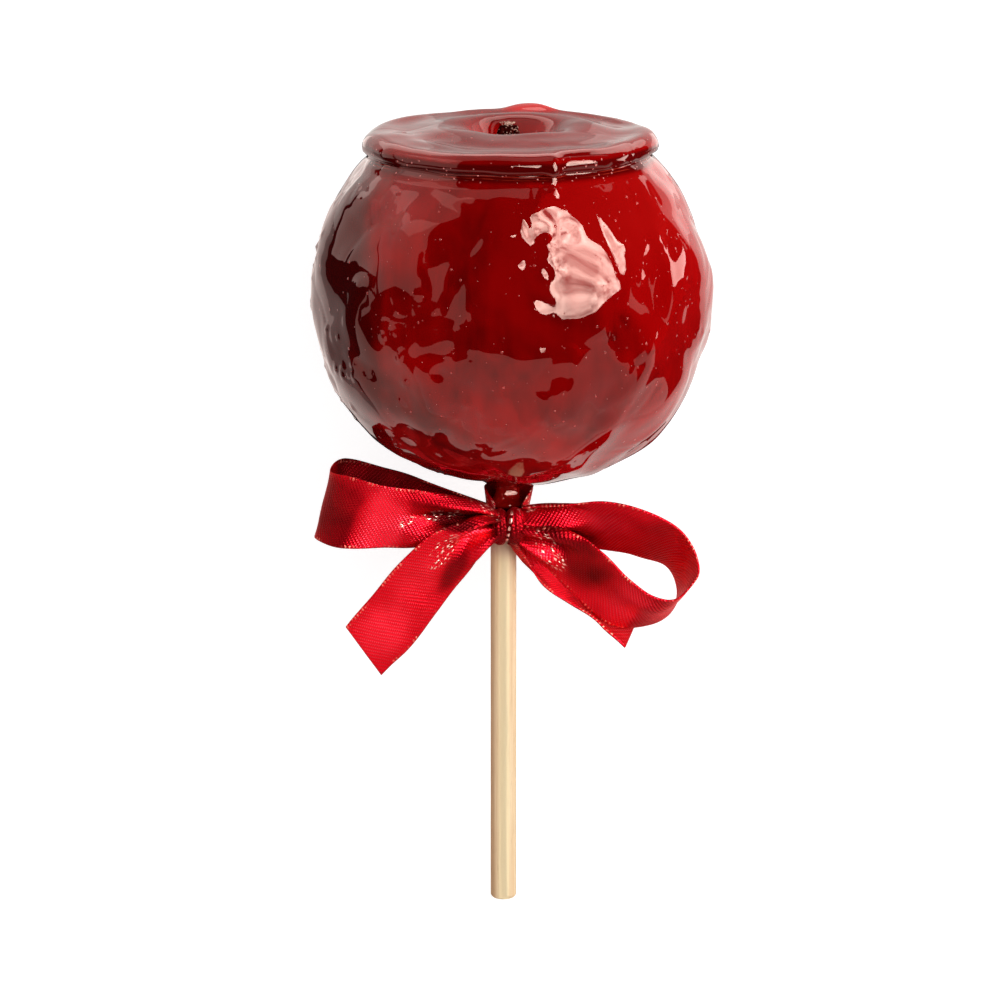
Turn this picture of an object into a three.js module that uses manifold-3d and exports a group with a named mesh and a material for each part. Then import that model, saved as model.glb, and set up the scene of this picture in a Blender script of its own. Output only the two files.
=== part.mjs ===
// A toffee apple on a wooden stick, tied with a satin ribbon bow, lying on its side.
// Millimetres. The pieces are drawn upright, with the stick along Z, the toffee disc on top and
// the bow facing -Y, and the whole is then leaned back until apple and stick tip touch the floor.
import * as THREE from "three";
import { mergeVertices } from "three/addons/utils/BufferGeometryUtils.js";
import Module from "manifold-3d";

const wasm = await Module();
wasm.setup();

// Apple body, centred on the widest girth.
const APPLE_RADIUS = 37.9;
const APPLE_HALF_HEIGHT = 36.9;
const APPLE_OFF_AXIS = 1.4;
const APPLE_TWIST = 0.018; // sideways drift of the centre for each unit of height
const LOWER_FULLNESS = 2.28; // superellipse power of the blunt stick side
const UPPER_FULLNESS = 1.97;
const SHOULDER_ANGLE = 44.5; // degrees up to where the disc begins

// Flat toffee disc that set round the crown.
const DISC_RADIUS = 28.1;
const DISC_TOP = 30.2;
const RIM_WIDEST = 27.5; // height at which the rim stands out furthest
const RIM_ROUND = 3;
const RIM_TUCK = 1.1; // how far the rim rounds back in below its widest level
const DISC_OFF_AXIS = [1.1, 0];
const RIM_WAVE = 0.55;
const CROWN_DIP = 0.35; // sag of the disc between rim and hollow
const FOLD_DEPTH = 0.55; // second, softer fold under the front of the rim
const FOLD_HEIGHT = 24.7;
const FOLD_HALF = 1.5;
const BLISTER_CENTRE = [4.6, 23]; // low bump near the back of the disc
const BLISTER_HEIGHT = 1.6;
const BLISTER_SPREAD = 3.4;

// Hollow round the calyx.
const HOLLOW_RADIUS = 13.6;
const HOLLOW_CENTRE = [2.2, 4.5];
const HOLLOW_FLOOR = 23.2;
const FLOOR_RADIUS = 4.8;
const LIP_RISE = 0.6;

// Toffee run that grips the stick.
const NECK_RADIUS = 2.65;
const NECK_END = -45.2;
const NECK_ROUND = 1.3;
const NECK_OFF_AXIS = 0.75;
const NECK_FLARE = [ // share of the neck radius, height, centre x and share of the waves
  [0.96, -40.2, 0.75, 0],
  [1.02, -39.2, 0.75, 0],
  [1.3, -38.3, 0.8, 0],
  [1.8, -37.9, 0.9, 0.1],
];

// Calyx tuft in the hollow.
const CALYX_RADIUS = 2.5;
const CALYX_TOP = 31;
const CALYX_CENTRE = [0.9, 5.2];
const CALYX_POINTS = 5;

// Dowel.
const STICK_RADIUS = 2.5;
const STICK_TIP = -121.5;
const STICK_EDGE = 0.9;
const GAP = 0.3; // between pieces that touch

// Ribbon.
const RIBBON_WIDTH = 15;
const RIBBON_THICK = 0.6;
const PLEATS = 1.5; // waves across the width where it is gathered
const RIBBON_STEPS = 6; // across the width

// Lean of the upright object when it lies on the floor, in degrees from level.
const LEAN = 17.3;

const SEGMENTS = 72;
const rad = THREE.MathUtils.degToRad;

// --- helpers ---------------------------------------------------------------

function toSolid(geometry) {
  const bare = new THREE.BufferGeometry();
  bare.setAttribute("position", geometry.getAttribute("position").clone());
  if (geometry.index) bare.setIndex(geometry.index.clone());
  const merged = mergeVertices(bare, 1e-4);
  const { array } = merged.getAttribute("position");
  const triVerts = new Uint32Array(merged.index.array);
  return new wasm.Manifold(new wasm.Mesh({ numProp: 3, vertProperties: array, triVerts }));
}

function toGeometry(solid) {
  const { vertProperties, triVerts } = solid.getMesh();
  const geometry = new THREE.BufferGeometry();
  geometry.setAttribute("position", new THREE.BufferAttribute(vertProperties, 3));
  geometry.setIndex(new THREE.BufferAttribute(triVerts, 1));
  geometry.computeVertexNormals();
  return geometry;
}

// A closed body from rings of points; the first and last entry are single poles.
function ringsGeometry(first, rings, last) {
  const count = rings[0].length;
  const points = [first, ...rings.flat(), last];
  const faces = [];
  const at = (ring, k) => 1 + ring * count + (k % count);
  for (let k = 0; k < count; k++) {
    faces.push(0, at(0, k + 1), at(0, k));
    faces.push(points.length - 1, at(rings.length - 1, k), at(rings.length - 1, k + 1));
  }
  for (let ring = 0; ring + 1 < rings.length; ring++) {
    for (let k = 0; k < count; k++) {
      const [a, b] = [at(ring, k), at(ring, k + 1)];
      const [c, d] = [at(ring + 1, k + 1), at(ring + 1, k)];
      faces.push(a, b, c, a, c, d);
    }
  }
  const geometry = new THREE.BufferGeometry().setFromPoints(points);
  geometry.setIndex(faces);
  return geometry;
}

// A thin closed body of even thickness on either side of the surface pointAt(u, v).
function sheetGeometry(pointAt, along, across, thickness) {
  const step = 1e-3;
  const inside = (t) => Math.min(Math.max(t, 0), 1);
  const slope = (u, v, du, dv) =>
    pointAt(inside(u + du), inside(v + dv)).sub(pointAt(inside(u - du), inside(v - dv)));
  const points = [];
  for (const side of [1, -1]) {
    for (let i = 0; i <= along; i++) {
      for (let j = 0; j <= across; j++) {
        const [u, v] = [i / along, j / across];
        const normal = slope(u, v, step, 0).cross(slope(u, v, 0, step)).normalize();
        points.push(pointAt(u, v).addScaledVector(normal, (side * thickness) / 2));
      }
    }
  }
  const at = (side, i, j) => (side * (along + 1) + i) * (across + 1) + j;
  const faces = [];
  const quad = (a, b, c, d) => faces.push(a, b, c, a, c, d);
  for (let i = 0; i < along; i++) {
    for (let j = 0; j < across; j++) {
      quad(at(0, i, j), at(0, i + 1, j), at(0, i + 1, j + 1), at(0, i, j + 1));
      quad(at(1, i, j), at(1, i, j + 1), at(1, i + 1, j + 1), at(1, i + 1, j));
    }
    quad(at(1, i, 0), at(1, i + 1, 0), at(0, i + 1, 0), at(0, i, 0));
    quad(at(0, i, across), at(0, i + 1, across), at(1, i + 1, across), at(1, i, across));
  }
  for (let j = 0; j < across; j++) {
    quad(at(0, 0, j), at(0, 0, j + 1), at(1, 0, j + 1), at(1, 0, j));
    quad(at(1, along, j), at(1, along, j + 1), at(0, along, j + 1), at(0, along, j));
  }
  const geometry = new THREE.BufferGeometry().setFromPoints(points);
  geometry.setIndex(faces);
  return geometry;
}

// From 0 at a to 1 at b, with a above or below b.
function smooth(a, b, x) {
  const t = Math.min(Math.max((x - a) / (b - a), 0), 1);
  return t * t * (3 - 2 * t);
}
const mix = THREE.MathUtils.lerp;

// --- toffee apple ------------------------------------------------------------

// Broad shallow waves that the toffee set in: wave vector, phase and height of each.
const WAVES = [
  [0.21, 0.12, 0.16, 0.4, 0.2],
  [-0.16, 0.19, 0.24, 1.9, 0.18],
  [0.27, -0.2, -0.13, 3.1, 0.16],
  [-0.3, -0.26, 0.2, 4.4, 0.13],
  [0.1, 0.33, -0.35, 5.2, 0.12],
];

// Middle of the patch that the apple rests on, where the toffee set without waves.
const REST_POINT = new THREE.Vector3(1.6, 36.4, -11);
const REST_PATCH = [6, 22]; // the waves grow back between these distances

function toffeeWaves(p) {
  const height = WAVES.reduce(
    (sum, [x, y, z, phase, size]) => sum + size * Math.sin(x * p.x + y * p.y + z * p.z + phase),
    0,
  );
  return height * smooth(...REST_PATCH, p.distanceTo(REST_POINT));
}

// Each profile point is [radius, height, centre x, centre y, share of the waves].
function neckProfile() {
  const points = [];
  const steps = 4;
  for (let i = 1; i <= steps; i++) {
    const turn = rad((90 * i) / steps);
    const r = NECK_RADIUS - NECK_ROUND + NECK_ROUND * Math.sin(turn);
    points.push([r, NECK_END + NECK_ROUND * (1 - Math.cos(turn)), NECK_OFF_AXIS, 0, 0]);
  }
  for (const [share, z, cx, waves] of NECK_FLARE) points.push([NECK_RADIUS * share, z, cx, 0, waves]);
  return points;
}

function bodyPoint(angle) {
  const power = 2 / (angle < 0 ? LOWER_FULLNESS : UPPER_FULLNESS);
  const r = APPLE_RADIUS * Math.cos(rad(angle)) ** power;
  const z = APPLE_HALF_HEIGHT * Math.sign(angle) * Math.abs(Math.sin(rad(angle))) ** power;
  return [r, z];
}

function bodyProfile() {
  const points = [];
  const first = -78;
  const steps = 22;
  const angles = Array.from({ length: steps }, (_, i) => mix(first, SHOULDER_ANGLE, i / (steps - 1)));
  const finer = [2 / 3, 1 / 3].map((t) => mix(angles[steps - 1], angles[steps - 2], t));
  angles.splice(steps - 1, 0, ...finer);
  for (const angle of angles) {
    const share = smooth(first - 5, -50, angle) * (1 - 0.6 * smooth(30, SHOULDER_ANGLE, angle));
    const [r, z] = bodyPoint(angle);
    points.push([r, z, APPLE_OFF_AXIS - APPLE_TWIST * z, 0, share]);
  }
  return points;
}

function rimProfile() {
  const points = [];
  const steps = 7;
  for (let i = 0; i <= steps; i++) {
    const turn = rad(mix(-75, 90, i / steps));
    const [wide, tall] = turn < 0 ? [0.7 * RIM_TUCK, RIM_TUCK] : [RIM_ROUND, DISC_TOP - RIM_WIDEST];
    const r = DISC_RADIUS - wide + wide * Math.cos(turn);
    points.push([r, RIM_WIDEST + tall * Math.sin(turn), ...DISC_OFF_AXIS, 0]);
  }
  return points;
}

function crownProfile() {
  const points = [];
  const outer = DISC_RADIUS - RIM_ROUND;
  for (const share of [0.22, 0.45, 0.68, 0.88]) {
    const r = mix(outer, HOLLOW_RADIUS, share);
    const z = DISC_TOP - CROWN_DIP * Math.sin(Math.PI * share) + LIP_RISE * smooth(0.5, 1, share);
    const centre = DISC_OFF_AXIS.map((from, i) => mix(from, HOLLOW_CENTRE[i], share));
    points.push([r, z, ...centre, 0]);
  }
  const steps = 7;
  for (let i = 0; i <= steps; i++) {
    const t = i / steps;
    const r = mix(HOLLOW_RADIUS, FLOOR_RADIUS, t ** 0.8);
    const drop = smooth(0, 1, t) ** 0.9;
    points.push([r, mix(DISC_TOP + LIP_RISE, HOLLOW_FLOOR, drop), ...HOLLOW_CENTRE, 0]);
  }
  return points;
}

// The rim, crease and crown wander in and out and up and down round the disc.
function rimWander(turn) {
  return (
    0.5 * Math.sin(3 * turn + 0.6) + 0.35 * Math.sin(7 * turn + 2.2) + 0.3 * Math.sin(11 * turn + 4)
  );
}

function crownRipple(x, y) {
  const [dx, dy] = [x - HOLLOW_CENTRE[0], y - HOLLOW_CENTRE[1]];
  const around = Math.atan2(dy, dx);
  const out = Math.hypot(dx, dy);
  return 0.16 * Math.sin(out * 1.05 + 1.2 * Math.sin(2 * around + 0.7)) + 0.14 * Math.sin(5 * around);
}

function blister(x, y) {
  const away = Math.hypot(x - BLISTER_CENTRE[0], y - BLISTER_CENTRE[1]) / BLISTER_SPREAD;
  return BLISTER_HEIGHT * Math.exp(-(away ** 2));
}

function underFold(z, turn) {
  const level = (z - FOLD_HEIGHT) / FOLD_HALF;
  return FOLD_DEPTH * Math.max(1 - level ** 2, 0) * smooth(-0.2, 0.7, -Math.sin(turn));
}

function toffeePoint([r, z, cx, cy, waves], turn) {
  const p = new THREE.Vector3(cx + r * Math.cos(turn), cy + r * Math.sin(turn), z);
  const flatness = (APPLE_RADIUS / APPLE_HALF_HEIGHT) ** 2;
  const outward = new THREE.Vector3(p.x - cx, p.y, z * flatness).normalize();
  p.addScaledVector(outward, waves * toffeeWaves(p) + underFold(z, turn));
  const onDisc = smooth(RIM_WIDEST - 2.5, RIM_WIDEST, z) * smooth(HOLLOW_RADIUS, DISC_RADIUS, r);
  const wander = RIM_WAVE * rimWander(turn);
  p.x += onDisc * wander * Math.cos(turn);
  p.y += onDisc * wander * Math.sin(turn);
  p.z += onDisc * 0.5 * RIM_WAVE * rimWander(turn + 0.9);
  if (z > DISC_TOP - 3 && r < DISC_RADIUS - 1) p.z += crownRipple(p.x, p.y) + blister(p.x, p.y);
  return p;
}

function toffeeApple() {
  const profile = [...neckProfile(), ...bodyProfile(), ...rimProfile(), ...crownProfile()];
  const rings = profile.map((station) =>
    Array.from({ length: SEGMENTS }, (_, k) => toffeePoint(station, (2 * Math.PI * k) / SEGMENTS)),
  );
  const bottom = new THREE.Vector3(NECK_OFF_AXIS, 0, NECK_END);
  const top = new THREE.Vector3(...HOLLOW_CENTRE, HOLLOW_FLOOR);
  return toSolid(ringsGeometry(bottom, rings, top));
}

// --- calyx ------------------------------------------------------------------

function calyx() {
  const base = HOLLOW_FLOOR + GAP + 0.15;
  const height = CALYX_TOP - base;
  const [rows, count] = [9, 20];
  const rings = [];
  for (let i = 0; i < rows; i++) {
    const t = (i + 0.5) / rows;
    const body = Math.sin(Math.PI * t ** 0.8) ** 0.5;
    rings.push(
      Array.from({ length: count }, (_, k) => {
        const turn = (2 * Math.PI * k) / count;
        const crag = 1 + 0.16 * Math.sin(CALYX_POINTS * turn + 3 * t) * smooth(0.3, 0.8, t);
        const r = CALYX_RADIUS * 0.92 * body * crag;
        const lift = 0.35 * Math.cos(CALYX_POINTS * turn + 1) * smooth(0.5, 0.9, t);
        const [x, y] = [CALYX_CENTRE[0] + r * Math.cos(turn), CALYX_CENTRE[1] + r * Math.sin(turn)];
        return new THREE.Vector3(x, y, base + height * t + lift);
      }),
    );
  }
  const at = (z) => new THREE.Vector3(...CALYX_CENTRE, z);
  return toSolid(ringsGeometry(at(base), rings, at(CALYX_TOP - 0.5)));
}

// --- stick ------------------------------------------------------------------

function stick() {
  const top = NECK_END - GAP;
  const outline = [[0, STICK_TIP]];
  const steps = 4;
  for (let i = 0; i <= steps; i++) {
    const turn = rad((90 * i) / steps);
    const r = STICK_RADIUS - STICK_EDGE + STICK_EDGE * Math.sin(turn);
    outline.push([r, STICK_TIP + STICK_EDGE * (1 - Math.cos(turn))]);
  }
  outline.push([STICK_RADIUS, top], [0, top]);
  const geometry = new THREE.LatheGeometry(outline.map(([r, z]) => new THREE.Vector2(r, z)), 32);
  return toSolid(geometry.rotateX(Math.PI / 2));
}

// --- ribbon -----------------------------------------------------------------

// Each row is one crosswise line of the ribbon: its upper selvedge, then its lower selvedge.
const LEFT_LOOP = [
  [[-1.2, -5.5, -42.6], [-1.4, -5.5, -46.3]],
  [[-6, -8.5, -39.8], [-7.2, -8.5, -47]],
  [[-14.9, -11.5, -37.4], [-16.3, -10, -48.5]],
  [[-22.5, -12, -36], [-24.3, -9.5, -49]],
  [[-28.9, -10.5, -33.8], [-31.6, -9.5, -48.9]],
  [[-33.2, -5, -32.9], [-36, -4.5, -48.2]],
  [[-30.3, 0.5, -33.7], [-33.3, 1, -48.3]],
  [[-20, 2.5, -36.8], [-22.3, 4, -49]],
  [[-9.7, 0.5, -40.2], [-10.7, 1, -47.5]],
  [[-3.2, -3.8, -42], [-3.4, -3.6, -45.2]],
];
const RIGHT_LOOP = [
  [[4.9, -6.5, -41.8], [4.1, -5.3, -46.2]],
  [[10.8, -8.5, -41], [10.9, -3.5, -48]],
  [[18.8, -10, -40], [18.6, -2, -51.2]],
  [[27.9, -10.7, -41.6], [25.4, -0.5, -52.3]],
  [[34.2, -11.1, -45.6], [31, 0.3, -54.7]],
  [[37.1, -11.6, -52], [33.4, 0.8, -59.4]],
  [[36.4, -11.5, -55.4], [32.6, 0.7, -63.4]],
  [[33, -11.5, -58.6], [29.3, 0.7, -66.5]],
  [[29, -11, -58], [24.9, 0.2, -67.1]],
  [[24.2, -10.5, -55], [18.7, -0.7, -64.8]],
  [[19.2, -10.1, -49.4], [12.4, -1.9, -58.9]],
  [[12.7, -8.7, -46], [7.2, -4.1, -52.6]],
  [[5.5, -7.3, -44.8], [4.1, -5.1, -48.2]],
];
const LEFT_TAIL = [
  [[-1, -6, -43.2], [-1.4, -6, -47.6]],
  [[-6.4, -11, -42.6], [-3.6, -8.4, -49.2]],
  [[-13, -13.5, -45], [-7.6, -8, -55.2]],
  [[-19.7, -13, -50.6], [-12.1, -7, -61.4]],
  [[-25.7, -12, -58.4], [-18.2, -6.5, -69.4]],
  [[-30.2, -11.5, -64.1], [-23.6, -6, -75]],
];
const RIGHT_TAIL = [
  [[3, -4.4, -47.2], [2.6, -6.8, -48.2]],
  [[7.2, 1.9, -49.1], [4.1, -5.1, -51.5]],
  [[13.3, 7, -53], [7.5, -3, -57.5]],
  [[19.6, 10.6, -57.9], [12.8, -2.2, -61.6]],
  [[25.1, 11.2, -62.8], [18.3, -2, -65.3]],
  [[27.6, 11.3, -65], [23.5, -1.9, -70.6]],
];
// Centre and half sizes of the two puffs of the knot.
const KNOT_LOBES = [
  [[-0.4, -5.4, -45.8], [1.8, 2.4, 3.3]],
  [[2.2, -5.6, -45.6], [2.1, 2.6, 3.5]],
];
const COLLAR = [
  [[-1.6, -4.2, -41.6], [-2, -4.6, -45.5]],
  [[-3.3, -2.4, -39.3], [-3.2, -2.2, -46]],
  [[-3.5, 0.6, -38.9], [-3.3, 0.8, -46]],
  [[-1.6, 4.1, -39], [-1.4, 3.3, -46]],
  [[2.9, 4.3, -39], [1.9, 3.3, -46]],
  [[5.2, 1, -38.9], [4, 1, -46]],
  [[5, -2.2, -39.2], [4, -2, -46]],
  [[3.6, -4.3, -41.6], [3.4, -4.6, -45.5]],
];

function ribbonStrand(rows, along, pleated = 1) {
  const curve = (side) =>
    new THREE.CatmullRomCurve3(rows.map((row) => new THREE.Vector3(...row[side])), false, "catmullrom");
  const [upper, lower] = [curve(0), curve(1)];
  const pointAt = (u, v) => {
    const [a, b] = [upper.getPoint(u), lower.getPoint(u)];
    const across = b.clone().sub(a);
    const spread = Math.min(across.length() / RIBBON_WIDTH, 1);
    const gathered = pleated * smooth(0.92, 0.6, spread);
    const depth = (gathered * RIBBON_WIDTH * Math.sqrt(2 * (1 - spread ** 2))) / (2 * Math.PI * PLEATS);
    const ahead = upper.getTangent(u).add(lower.getTangent(u));
    const normal = ahead.cross(across).normalize();
    const fold = depth * Math.sin(2 * Math.PI * PLEATS * v);
    return a.addScaledVector(across, v).addScaledVector(normal, fold);
  };
  return toSolid(sheetGeometry(pointAt, along, RIBBON_STEPS, RIBBON_THICK));
}

function knotLobe(centre, size) {
  const lobe = new THREE.SphereGeometry(1, 14, 10);
  return toSolid(lobe.rotateX(Math.PI / 2).scale(...size).translate(...centre));
}

function ribbonBow() {
  return [
    ribbonStrand(LEFT_LOOP, 27),
    ribbonStrand(RIGHT_LOOP, 30),
    ribbonStrand(LEFT_TAIL, 10),
    ribbonStrand(RIGHT_TAIL, 9),
    ribbonStrand(COLLAR, 16, 0),
    ...KNOT_LOBES.map((lobe) => knotLobe(...lobe)),
  ].reduce((whole, piece) => whole.add(piece));
}

// --- the lying object ---------------------------------------------------------

// Height of the upright origin above the floor once the tip of the leaning stick touches it.
const lean = rad(LEAN);
const tipReach = (-STICK_TIP - STICK_EDGE) * Math.sin(lean);
const REST_HEIGHT = tipReach + (STICK_RADIUS - STICK_EDGE) * Math.cos(lean) + STICK_EDGE;

// Cuts the small flat spot that the apple rests on, given in the upright frame.
function cutFlatSpot(solid) {
  const size = 60;
  const box = new THREE.BoxGeometry(size, size, size).translate(0, 0, -size / 2);
  const upright = new THREE.Matrix4().copy(lying.matrix).invert();
  return solid.subtract(toSolid(box.applyMatrix4(upright)));
}

const lying = new THREE.Group();
lying.rotation.x = -(Math.PI / 2 - lean);
lying.position.z = REST_HEIGHT;
lying.updateMatrix();

function addPiece(name, solid, color, roughness) {
  const material = new THREE.MeshStandardMaterial({ color, roughness, metalness: 0 });
  const mesh = new THREE.Mesh(toGeometry(solid), material);
  mesh.name = name;
  lying.add(mesh);
}

addPiece("toffee_apple", cutFlatSpot(toffeeApple()), 0x7a0508, 0.06);
addPiece("calyx", calyx(), 0x2a1a10, 0.8);
addPiece("stick", stick(), 0xe6c49a, 0.6);
addPiece("ribbon_bow", ribbonBow(), 0xb3101f, 0.35);

const group = new THREE.Group();
group.name = "toffee_apple_on_stick";
group.add(lying);

export default group;
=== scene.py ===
"""A toffee apple on a wooden stick with a satin ribbon bow, lying on a pale studio floor.

The pieces are shaped upright in millimetres, with the stick along Z, the toffee disc on top and the
bow facing -Y, and then laid down with the same lean as the solid model.
"""

import math
import random

import bmesh
import bpy
from mathutils import Matrix, Vector, kdtree, noise


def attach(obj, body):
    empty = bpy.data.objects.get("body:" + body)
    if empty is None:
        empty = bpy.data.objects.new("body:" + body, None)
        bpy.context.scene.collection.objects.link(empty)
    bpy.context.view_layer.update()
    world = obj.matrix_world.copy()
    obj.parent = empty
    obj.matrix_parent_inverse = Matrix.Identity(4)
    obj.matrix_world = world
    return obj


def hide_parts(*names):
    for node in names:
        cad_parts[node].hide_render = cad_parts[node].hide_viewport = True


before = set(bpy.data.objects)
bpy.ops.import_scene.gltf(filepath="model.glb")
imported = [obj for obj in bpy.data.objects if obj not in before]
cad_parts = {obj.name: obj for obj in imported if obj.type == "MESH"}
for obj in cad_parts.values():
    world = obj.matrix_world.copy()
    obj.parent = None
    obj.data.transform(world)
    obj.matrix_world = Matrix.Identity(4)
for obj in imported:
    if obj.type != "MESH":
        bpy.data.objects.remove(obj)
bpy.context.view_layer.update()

# --- named sizes, in millimetres on the upright object --------------------------------
#
# They are the solid model's, apart from the fold, the blister, the floor of the hollow, the neck
# and the ribbon's thickness, which are finer here.

APPLE_RADIUS = 37.9
APPLE_HALF_HEIGHT = 36.9
APPLE_OFF_AXIS = 1.4
APPLE_TWIST = 0.018  # sideways drift of the centre for each unit of height
LOWER_FULLNESS = 2.28  # superellipse power of the blunt stick side
UPPER_FULLNESS = 1.97
LOWEST_ANGLE = -78  # degrees down to where the neck begins
SHOULDER_ANGLE = 44.5  # degrees up to where the disc begins

DISC_RADIUS = 28.1
DISC_TOP = 30.2
RIM_WIDEST = 27.5  # height at which the rim stands out furthest
RIM_ROUND = 3
RIM_TUCK = 1.1  # how far the rim rounds back in below its widest level
DISC_OFF_AXIS = (1.1, 0)
RIM_WAVE = 0.55
CROWN_DIP = 0.35  # sag of the disc between rim and hollow
FOLD_DEPTH = 0.55  # second, softer fold under the front of the rim
FOLD_HEIGHT = 25.4
FOLD_HALF = 1.2
BLISTER_CENTRE = (4.6, 23)  # low bump near the back of the disc
BLISTER_HEIGHT = 1.4
BLISTER_SPREAD = 3.4

HOLLOW_RADIUS = 13.6
HOLLOW_CENTRE = (2.2, 4.5)
HOLLOW_FLOOR = 23.2
FLOOR_RADIUS = 4.4
LIP_RISE = 0.6

NECK_RADIUS = 2.65
NECK_END = -45.2
NECK_ROUND = 1.3
NECK_BULGE = 0.55
NECK_BULGE_HEIGHT = -42.4
NECK_OFF_AXIS = 0.75
NECK_FACE = math.radians(288)  # the way its flattened side looks
NECK_FLAT = 1.6  # from the axis to the flattened side
NECK_FLAT_TOP = -38.4
NECK_FACE_SLOPE = 0.2
NECK_PRESS = 0.8  # share of what stands proud of the flat that is pressed in
NECK_SET_BACK = 0.8
NECK_FLARE = (  # share of the neck radius, height, centre x and share of the waves
    (1.04, -41.3, 0.75, 0),
    (0.9, -40.2, 0.75, 0),
    (0.86, -39.4, 0.75, 0),
    (1.15, -38.6, 0.8, 0),
    (1.8, -37.9, 0.9, 0.1),
)

CALYX_CENTRE = (0.9, 5.2)
CALYX_TOP = 31

STICK_RADIUS = 2.5
STICK_TIP = -121.5
STICK_EDGE = 0.9
GAP = 0.3  # between pieces that touch

RIBBON_WIDTH = 15
RIBBON_THICK = 0.35
PLEATS = 1.5  # waves across the width where it is gathered

LEAN = math.radians(17.3)  # of the stick from level when the object lies on the floor
# How far the apple's middle is above the floor when the rounded tip of the stick touches it.
REST_HEIGHT = (
    (-STICK_TIP - STICK_EDGE) * math.sin(LEAN)
    + (STICK_RADIUS - STICK_EDGE) * math.cos(LEAN)
    + STICK_EDGE
)
MM = 0.001
LYING = (
    Matrix.Translation((0, 0, REST_HEIGHT * MM))
    @ Matrix.Rotation(LEAN - math.pi / 2, 4, "X")
    @ Matrix.Scale(MM, 4)
)
CAMERA_RISE = math.radians(13.2)  # above square to the stick, on the bow side
# The studio's axes: right, up along the stick, and towards the camera.
STUDIO = Matrix.Rotation(LEAN - CAMERA_RISE, 3, "X")

WAVES = (  # broad shallow waves that the toffee set in: wave vector, phase and height
    ((0.21, 0.12, 0.16), 0.4, 0.2),
    ((-0.16, 0.19, 0.24), 1.9, 0.18),
    ((0.27, -0.2, -0.13), 3.1, 0.16),
    ((-0.3, -0.26, 0.2), 4.4, 0.13),
    ((0.1, 0.33, -0.35), 5.2, 0.12),
)
REST_POINT = Vector((1.6, 36.4, -11))  # where the apple lies on the floor
REST_PATCH = (6, 22)  # the waves grow back between these distances from it


def smooth(a, b, x):
    """From 0 at a to 1 at b, with a above or below b."""
    t = min(max((x - a) / (b - a), 0), 1)
    return t * t * (3 - 2 * t)


def lerp(a, b, t):
    return a + (b - a) * t


def spline(points, t):
    """The point at t, from 0 to 1, on a smooth curve through evenly timed points."""
    last = len(points) - 1
    at = min(max(t, 0), 1) * last
    i = min(int(at), last - 1)
    f = at - i
    b, c = points[i], points[i + 1]
    a = points[i - 1] if i > 0 else b * 2 - c
    d = points[i + 2] if i + 2 <= last else c * 2 - b
    start, end = (c - a) * 0.5, (d - b) * 0.5
    return (
        b * (2 * f**3 - 3 * f**2 + 1)
        + start * (f**3 - 2 * f**2 + f)
        + c * (3 * f**2 - 2 * f**3)
        + end * (f**3 - f**2)
    )


# --- making pieces --------------------------------------------------------------------


def piece(name, bm, finish, node):
    """Lays an upright millimetre shape down as a shown piece that stands for a node."""
    bmesh.ops.transform(bm, matrix=LYING, verts=bm.verts)
    for face in bm.faces:
        face.smooth = True
    mesh = bpy.data.meshes.new(name)
    bm.to_mesh(mesh)
    bm.free()
    made = bpy.data.objects.new(name, mesh)
    bpy.context.scene.collection.objects.link(made)
    mesh.materials.append(finish)
    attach(made, "root")
    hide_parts(node)
    return made


def spun(profile, segments):
    """A body of revolution about Z from (radius, height) pairs; each vertex keeps its station."""
    bm = bmesh.new()
    station = bm.verts.layers.float.new("station")
    verts = []
    for i, (r, z) in enumerate(profile):
        vert = bm.verts.new((r, 0, z))
        vert[station] = i
        verts.append(vert)
    edges = [bm.edges.new(pair) for pair in zip(verts, verts[1:])]
    bmesh.ops.spin(
        bm,
        geom=verts + edges,
        cent=(0, 0, 0),
        axis=(0, 0, 1),
        angle=2 * math.pi,
        steps=segments,
        use_merge=True,
    )
    bmesh.ops.remove_doubles(bm, verts=bm.verts, dist=1e-4)
    bmesh.ops.recalc_face_normals(bm, faces=bm.faces)
    return bm


def rounded_end(radius, edge, level, steps):
    """Radius and height from a flat end at a level, round its edge, to the full radius."""
    pairs = []
    for i in range(steps + 1):
        turn = math.pi / 2 * i / steps
        r = radius - edge + edge * math.sin(turn)
        pairs.append((r, level + edge * (1 - math.cos(turn))))
    return pairs


def faces_of(verts):
    """The faces round some vertices, each once and always in the same order."""
    return list(dict.fromkeys(face for vert in verts for face in vert.link_faces))


# --- making finishes ------------------------------------------------------------------


class Signal:
    """One output of a finish; arithmetic on it adds Math nodes."""

    def __init__(self, finish, socket):
        self.finish, self.socket = finish, socket

    def math(self, operation, *values):
        sockets = dict(enumerate(values))
        return self.finish.node("ShaderNodeMath", {"operation": operation}, sockets)

    def __add__(self, other):
        return self.math("ADD", self, other)

    __radd__ = __add__

    def __sub__(self, other):
        return self.math("SUBTRACT", self, other)

    def __rsub__(self, other):
        return self.math("SUBTRACT", other, self)

    def __mul__(self, other):
        return self.math("MULTIPLY", self, other)

    __rmul__ = __mul__

    def __truediv__(self, other):
        return self.math("DIVIDE", self, other)

    def __pow__(self, other):
        return self.math("POWER", self, other)

    def band(self, low, high):
        """0 below low, 1 above high and smooth between, or falling where low is above high."""
        if low > high:
            return 1 - self.band(high, low)
        settings = {"interpolation_type": "SMOOTHSTEP"}
        sockets = {"Value": self, "From Min": low, "From Max": high}
        return self.finish.node("ShaderNodeMapRange", settings, sockets)

    def either(self, other):
        return self.math("MAXIMUM", self, other)

    def size(self):
        return self.math("ABSOLUTE", self)

    def wave(self):
        return self.math("SINE", self)

    def stripes(self, pitch):
        """Soft stripes from 0 to 1, one to each pitch."""
        return (self * (2 * math.pi / pitch)).wave() * 0.5 + 0.5


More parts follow.
